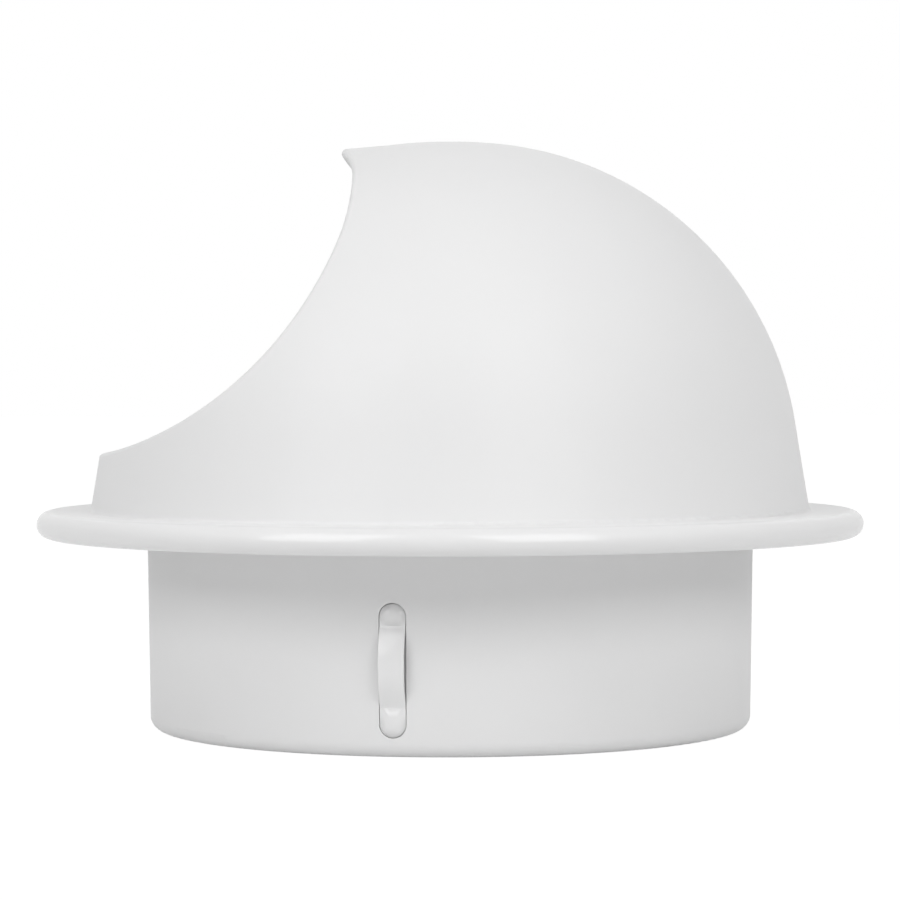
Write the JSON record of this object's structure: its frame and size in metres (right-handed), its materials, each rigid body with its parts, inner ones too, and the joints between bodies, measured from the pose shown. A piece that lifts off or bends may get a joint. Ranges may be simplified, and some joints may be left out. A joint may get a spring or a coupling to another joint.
{
  "type": "exterior ventilation grille",
  "caption": "Bull-nose exterior vent: domed hood with a side mouth, rolled flange, wire mesh, and a sprung collar that slides into a round wall duct.",
  "frame": {"origin": "on the duct's axis, in the plane of the wall's surface, where the rolled rim seats", "axes": "+Z along the duct's axis, away from the wall; the mouth faces -X, which points down on a wall"},
  "size_m": [0.166, 0.166, 0.1176],
  "materials": {
    "hood_coat": "gloss white powder coat on drawn steel",
    "collar_coat": "gloss white powder coat on drawn steel",
    "mesh_coat": "white powder coat on welded steel wire",
    "spring_coat": "gloss white powder coat on spring steel strip"
  },
  "bodies": {
    "grille": {"hood": "hood_coat", "collar": "collar_coat", "bird_mesh": "mesh_coat"},
    "spring_1": {"spring_1": "spring_coat"},
    "spring_2": {"spring_2": "spring_coat"},
    "spring_3": {"spring_3": "spring_coat"}
  },
  "joints": [
    {"name": "spring_1_press", "type": "slide", "parent": "grille", "child": "spring_1", "axis": [0.1771, 0.9842, 0], "range_m": [0, 0.0017], "stiffness_N_per_m": 8000},
    {"name": "spring_2_press", "type": "slide", "parent": "grille", "child": "spring_2", "axis": [-0.9409, -0.3387, 0], "range_m": [0, 0.0017], "stiffness_N_per_m": 8000},
    {"name": "spring_3_press", "type": "slide", "parent": "grille", "child": "spring_3", "axis": [0.7638, -0.6455, 0], "range_m": [0, 0.0017], "stiffness_N_per_m": 8000}
  ]
}
